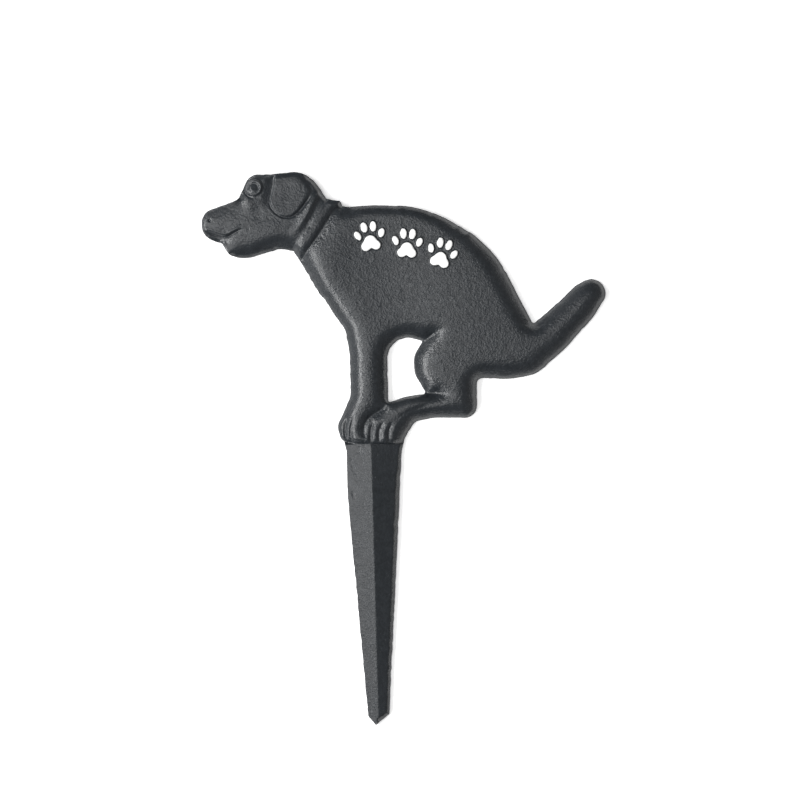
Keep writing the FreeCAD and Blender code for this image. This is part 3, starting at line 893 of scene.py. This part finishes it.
# %% [markdown]
# ## Shader arithmetic
# A material is a graph of small nodes. Building it by hand in Python soon becomes unreadable, so
# one small class wraps a node's output and lets us write sums and products as we would on paper.
# Every expression adds the Math node that it needs, and any other node comes from one method.

# %% A class for shader values
class Signal:
    """An output of a shader node that can be used in expressions."""

    def __init__(self, graph, socket):
        self.graph = graph
        self.socket = socket

    def math(self, operation, first, second):
        return self.graph.node("ShaderNodeMath", {"operation": operation}, {0: first, 1: second})

    def __add__(self, other):
        return self.math("ADD", self, other)

    def __sub__(self, other):
        return self.math("SUBTRACT", self, other)

    def __rsub__(self, other):
        return self.math("SUBTRACT", other, self)

    def __mul__(self, other):
        return self.math("MULTIPLY", self, other)

    __radd__ = __add__
    __rmul__ = __mul__


class Graph:
    """The nodes of a material or a world, built from expressions."""

    def __init__(self, owner):
        owner.use_nodes = True
        self.owner = owner
        self.tree = owner.node_tree
        self.tree.nodes.clear()

    def node(self, kind, settings=None, inputs=None, output=None):
        """Add a node: settings first, then the values or links of its sockets."""
        node = self.tree.nodes.new(kind)
        for key, value in (settings or {}).items():
            setattr(node, key, value)
        usable = [socket for socket in node.inputs if socket.enabled]
        for key, value in (inputs or {}).items():
            socket = usable[key] if isinstance(key, int) else next(
                socket for socket in usable if socket.name == key)
            if isinstance(value, Signal):
                self.tree.links.new(value.socket, socket)
            else:
                socket.default_value = value
        outputs = [socket for socket in node.outputs if socket.enabled]
        if not outputs:
            return node
        wanted = [socket for socket in outputs if socket.name == output]
        return Signal(self, (wanted or outputs)[0])

    def grain(self, size, detail=2.0, roughness=0.5, stretch=(1, 1, 1)):
        """Noise from 0 to 1, whose blobs are about so many millimetres wide."""
        place = self.node("ShaderNodeTexCoord", output="Object")
        scaled = self.node("ShaderNodeVectorMath", {"operation": "MULTIPLY"}, {
            0: place, 1: stretch})
        return self.node("ShaderNodeTexNoise", None, {
            "Vector": scaled, "Scale": 1 / (size * MM), "Detail": detail, "Roughness": roughness})

    def between(self, signal, low, high):
        """Stretch a signal so that low becomes 0 and high becomes 1."""
        return self.node("ShaderNodeMapRange", {"interpolation_type": "SMOOTHSTEP"}, {
            "Value": signal, "From Min": low, "From Max": high})

    def blend(self, share, first, second):
        """Mix two colours."""
        return self.node("ShaderNodeMix", {"data_type": "RGBA"}, {
            "Factor": share, "A": first, "B": second})

    def bump(self, height, depth):
        """Turn a height from 0 to 1 into bumps so many millimetres deep."""
        return self.node("ShaderNodeBump", None, {"Height": height, "Distance": depth * MM})

    def principled(self, colour, roughness, normal, specular=0.5):
        """A paint or a metal, connected to the material's output."""
        shader = self.node("ShaderNodeBsdfPrincipled", None, {
            "Base Color": colour, "Roughness": roughness, "Normal": normal,
            "Specular IOR Level": specular})
        return self.close(shader)

    def close(self, shader, output="ShaderNodeOutputMaterial"):
        """Connect a shader to the output and return the finished material or world."""
        self.node(output, None, {"Surface": shader})
        return self.owner


print("helpers ready:", Signal.__name__, "and", Graph.__name__)

# %% [markdown]
# ## Satin black on sand-cast iron
# The iron was poured into sand, so its skin is leathery: soft pits and wrinkles a millimetre or
# two wide, with finer grain on top. One coat of satin black covers it. The paint is a little
# thinner and shinier on the high spots, duller in the pits, and dust makes it faintly blue-grey.
# The colour is painted lighter on the high spots and darker in the pits: partly the thinner paint,
# partly a painted glint on the high spots and painted shade in the pits.
# Where the casting stored a calm skin the bumps are half as deep, so that the long highlights on
# the rounded edges run smoothly.

# %% The black finish
BLACK_DARK = (0.0110, 0.0136, 0.0165, 1)
BLACK_DUSTY = (0.0160, 0.0192, 0.0228, 1)
# Lighter black for the high spots of the skin: thinner paint there, and a painted glint.
BLACK_WORN_AND_GLINT = (0.033, 0.0375, 0.043, 1)
SKIN_DEPTH = 0.56


def black_finish():
    """Satin black over the leathery skin of the iron."""
    iron = Graph(bpy.data.materials.new("satin_black_iron"))
    wrinkles = iron.grain(2.6, 3.0, 0.6)
    grains = iron.grain(1.0, 2.0, 0.6)
    clouds = iron.grain(26.0, 2.0, 0.5)
    specks = iron.between(iron.grain(1.3, 1.0, 0.4), 0.62, 0.74)
    skin = wrinkles * 0.5 + grains * 0.5
    high = iron.between(skin, 0.4, 0.6)
    calm = iron.node("ShaderNodeAttribute", {"attribute_name": "calm"}, output="Fac")
    dark = iron.blend(clouds, BLACK_DARK, BLACK_DUSTY)
    return iron.principled(
        # High spots get the lighter black and pits stay dark: thinner paint, plus a painted glint
        # on the high spots and painted shade in the pits.
        colour=iron.blend(high * 0.5, dark, BLACK_WORN_AND_GLINT),
        roughness=0.25 + (1 - high) * 0.08 + (clouds - 0.5) * 0.08 + specks * 0.05,
        normal=iron.bump((skin - specks * 0.12 - 0.5) * (1 - calm * 0.5), SKIN_DEPTH),
        specular=0.55)


casting.data.materials.append(black_finish())
print("casting wears", casting.data.materials[0].name)

# %% [markdown]
# ## Brushed white
# The white is thicker enamel, put on with a small brush in one or two strokes. It is nearly
# smooth, follows the larger wrinkles of the iron below, and shows faint drag lines of the
# bristles. In a few thin places a trace of grey comes through.

# %% The white finish
WHITE = (0.86, 0.86, 0.85, 1)
WHITE_THIN = (0.50, 0.51, 0.52, 1)
DRAG_DEPTH = 0.12


def white_finish():
    """White enamel with faint lines of the brush."""
    enamel = Graph(bpy.data.materials.new("brushed_white"))
    drag = enamel.grain(0.8, 2.0, 0.5, (1, 1, 0.25))
    wrinkles = enamel.grain(2.2, 2.0, 0.5)
    thin = enamel.between(enamel.grain(1.6, 3.0, 0.6), 0.63, 0.78)
    return enamel.principled(
        colour=enamel.blend(thin * 0.5, WHITE, WHITE_THIN),
        roughness=0.36 + drag * 0.14,
        normal=enamel.bump(wrinkles * 0.7 + drag * 0.3, DRAG_DEPTH))


paint.data.materials.append(white_finish())
print("paint wears", paint.data.materials[0].name)

# %% [markdown]
# ## A white sheet and a white room
# The sign lies on a white sheet, and its soft shadow falls on it. The sheet stands just behind
# the flat back. From the front it is lit like paper; from behind, and for light on its way to the
# iron, it isn't there, so the sign can be looked at from every side. It ends a metre away, so
# that from the side it is only a thin line.

# %% The sheet
SHEET_REACH = 1.0
SHEET_BEHIND = 0.0006
SHEET_GLOW = 0.3
WHITE_LIGHT = (1.0, 1.0, 1.0, 1)


def ways_to_look(graph):
    """Whether a ray comes from the camera, off a glossy surface or through glass."""
    kinds = ("Is Camera Ray", "Is Glossy Ray", "Is Transmission Ray")
    return [graph.node("ShaderNodeLightPath", output=kind) for kind in kinds]


def make_sheet():
    """A square of white paper behind the sign."""
    reach = SHEET_REACH
    corners = [(across, SHEET_BEHIND, up) for across, up in
               ((-reach, -reach), (reach, -reach), (reach, reach), (-reach, reach))]
    mesh = bpy.data.meshes.new("white_sheet")
    mesh.from_pydata(corners, [], [(0, 1, 2, 3)])
    sheet = bpy.data.objects.new("white_sheet", mesh)
    bpy.context.scene.collection.objects.link(sheet)
    paper = Graph(bpy.data.materials.new("white_paper"))
    matt = paper.node("ShaderNodeBsdfDiffuse", None, {"Color": WHITE_LIGHT})
    glow = paper.node("ShaderNodeEmission", None, {"Color": WHITE_LIGHT, "Strength": SHEET_GLOW})
    lit = paper.node("ShaderNodeAddShader", None, {0: matt, 1: glow})
    clear = paper.node("ShaderNodeBsdfTransparent")
    seen, mirrored, through = ways_to_look(paper)
    behind = paper.node("ShaderNodeNewGeometry", output="Backfacing")
    share = (seen + mirrored + through) * (1 - behind)
    both = paper.node("ShaderNodeMixShader", None, {0: share, 1: clear, 2: lit})
    sheet.data.materials.append(paper.close(both))
    return sheet


sheet = make_sheet()
print("sheet faces", tuple(round(c) for c in sheet.data.polygons[0].normal))

# %% [markdown]
# ## The room
# Satin paint shows what surrounds it. In the picture the room is white behind the sign, for the
# camera and for reflections. In front it is dim, which keeps the flank dark, and a little brighter
# towards the right, as if a pale side wall stood there: without it the slopes that face right
# would be quite black. The room gives only a dim light of its own.

# %% The world
def light_room(dim, front, side):
    """White behind the sign for the camera and for reflections, dim for everything else."""
    world = bpy.data.worlds.new("white_room")
    bpy.context.scene.world = world
    room = Graph(world)
    seen, mirrored, through = ways_to_look(room)
    heading = room.node("ShaderNodeTexCoord", output="Generated")
    to_right, to_back = [
        room.node("ShaderNodeSeparateXYZ", None, {0: heading}, axis) for axis in ("X", "Y")]
    behind = room.between(to_back, -0.06, 0.1)
    near = front + side * room.between(to_right, 0.0, 1.0)
    reflected = near + behind * (1 - near)
    other = 1 - seen - mirrored - through
    level = seen + (mirrored + through) * reflected + other * dim
    shader = room.node("ShaderNodeBackground", None, {"Color": WHITE_LIGHT, "Strength": level})
    return room.close(shader, "ShaderNodeOutputWorld")


world = light_room(dim=0.28, front=0.12, side=0.2)
print("the room is called", world.name)

# %% [markdown]
# ## Two soft lamps
# Low relief is only readable in raking light. The main soft box is tall and narrow and stands far
# to the left, so it puts a sheen on every slope that faces left and leaves the right-hand slopes
# dark. A square and much weaker one near the camera gives the flat flank its faint satin glow.
# The power of a lamp grows with the square of its distance, so moving it keeps its level.

# %% Lamps
MIDDLE = (0.0134, -0.0035, 0.0198)


def add_lamp(name, left, up, distance, width, height, level):
    """A soft box that faces the sign, so many degrees to the left of the camera and above it."""
    left, up = math.radians(left), math.radians(up)
    flat = math.cos(up)
    direction = Vector((-math.sin(left) * flat, -math.cos(left) * flat, math.sin(up)))
    data = bpy.data.lights.new(name, "AREA")
    data.shape = "RECTANGLE"
    data.size = width
    data.size_y = height
    data.energy = level * math.pi * 4 * distance ** 2
    lamp = bpy.data.objects.new(name, data)
    lamp.location = Vector(MIDDLE) + direction * distance
    lamp.rotation_euler = (-direction).to_track_quat("-Z", "Y").to_euler()
    bpy.context.scene.collection.objects.link(lamp)
    return lamp


lamps = [
    add_lamp("soft_box_left", left=54, up=-3, distance=1.5, width=0.42, height=1.9, level=1.1),
    add_lamp("soft_box_front", left=14, up=0, distance=1.5, width=0.9, height=0.9, level=0.28),
]
print("lamps at", [[round(c, 2) for c in lamp.location] for lamp in lamps])

# %% [markdown]
# ## The camera
# The photograph looks straight at the sign from some distance, so there is hardly any
# perspective. The lens follows from the width of the view at the sign.

# %% Camera
CAMERA_DISTANCE = 1.6
VIEW_WIDTH = 0.3902
SENSOR = 36.0


def add_camera():
    """A long lens that looks straight at the middle of the view."""
    data = bpy.data.cameras.new("front_camera")
    data.sensor_width = SENSOR
    data.lens = data.sensor_width * CAMERA_DISTANCE / VIEW_WIDTH
    camera = bpy.data.objects.new("front_camera", data)
    camera.location = (MIDDLE[0], MIDDLE[1] - CAMERA_DISTANCE, MIDDLE[2])
    camera.rotation_euler = (math.pi / 2, 0, 0)
    bpy.context.scene.collection.objects.link(camera)
    bpy.context.scene.camera = camera
    return camera


camera = add_camera()
bpy.context.scene.view_settings.view_transform = "Standard"
print("lens:", round(camera.data.lens, 1), "mm")
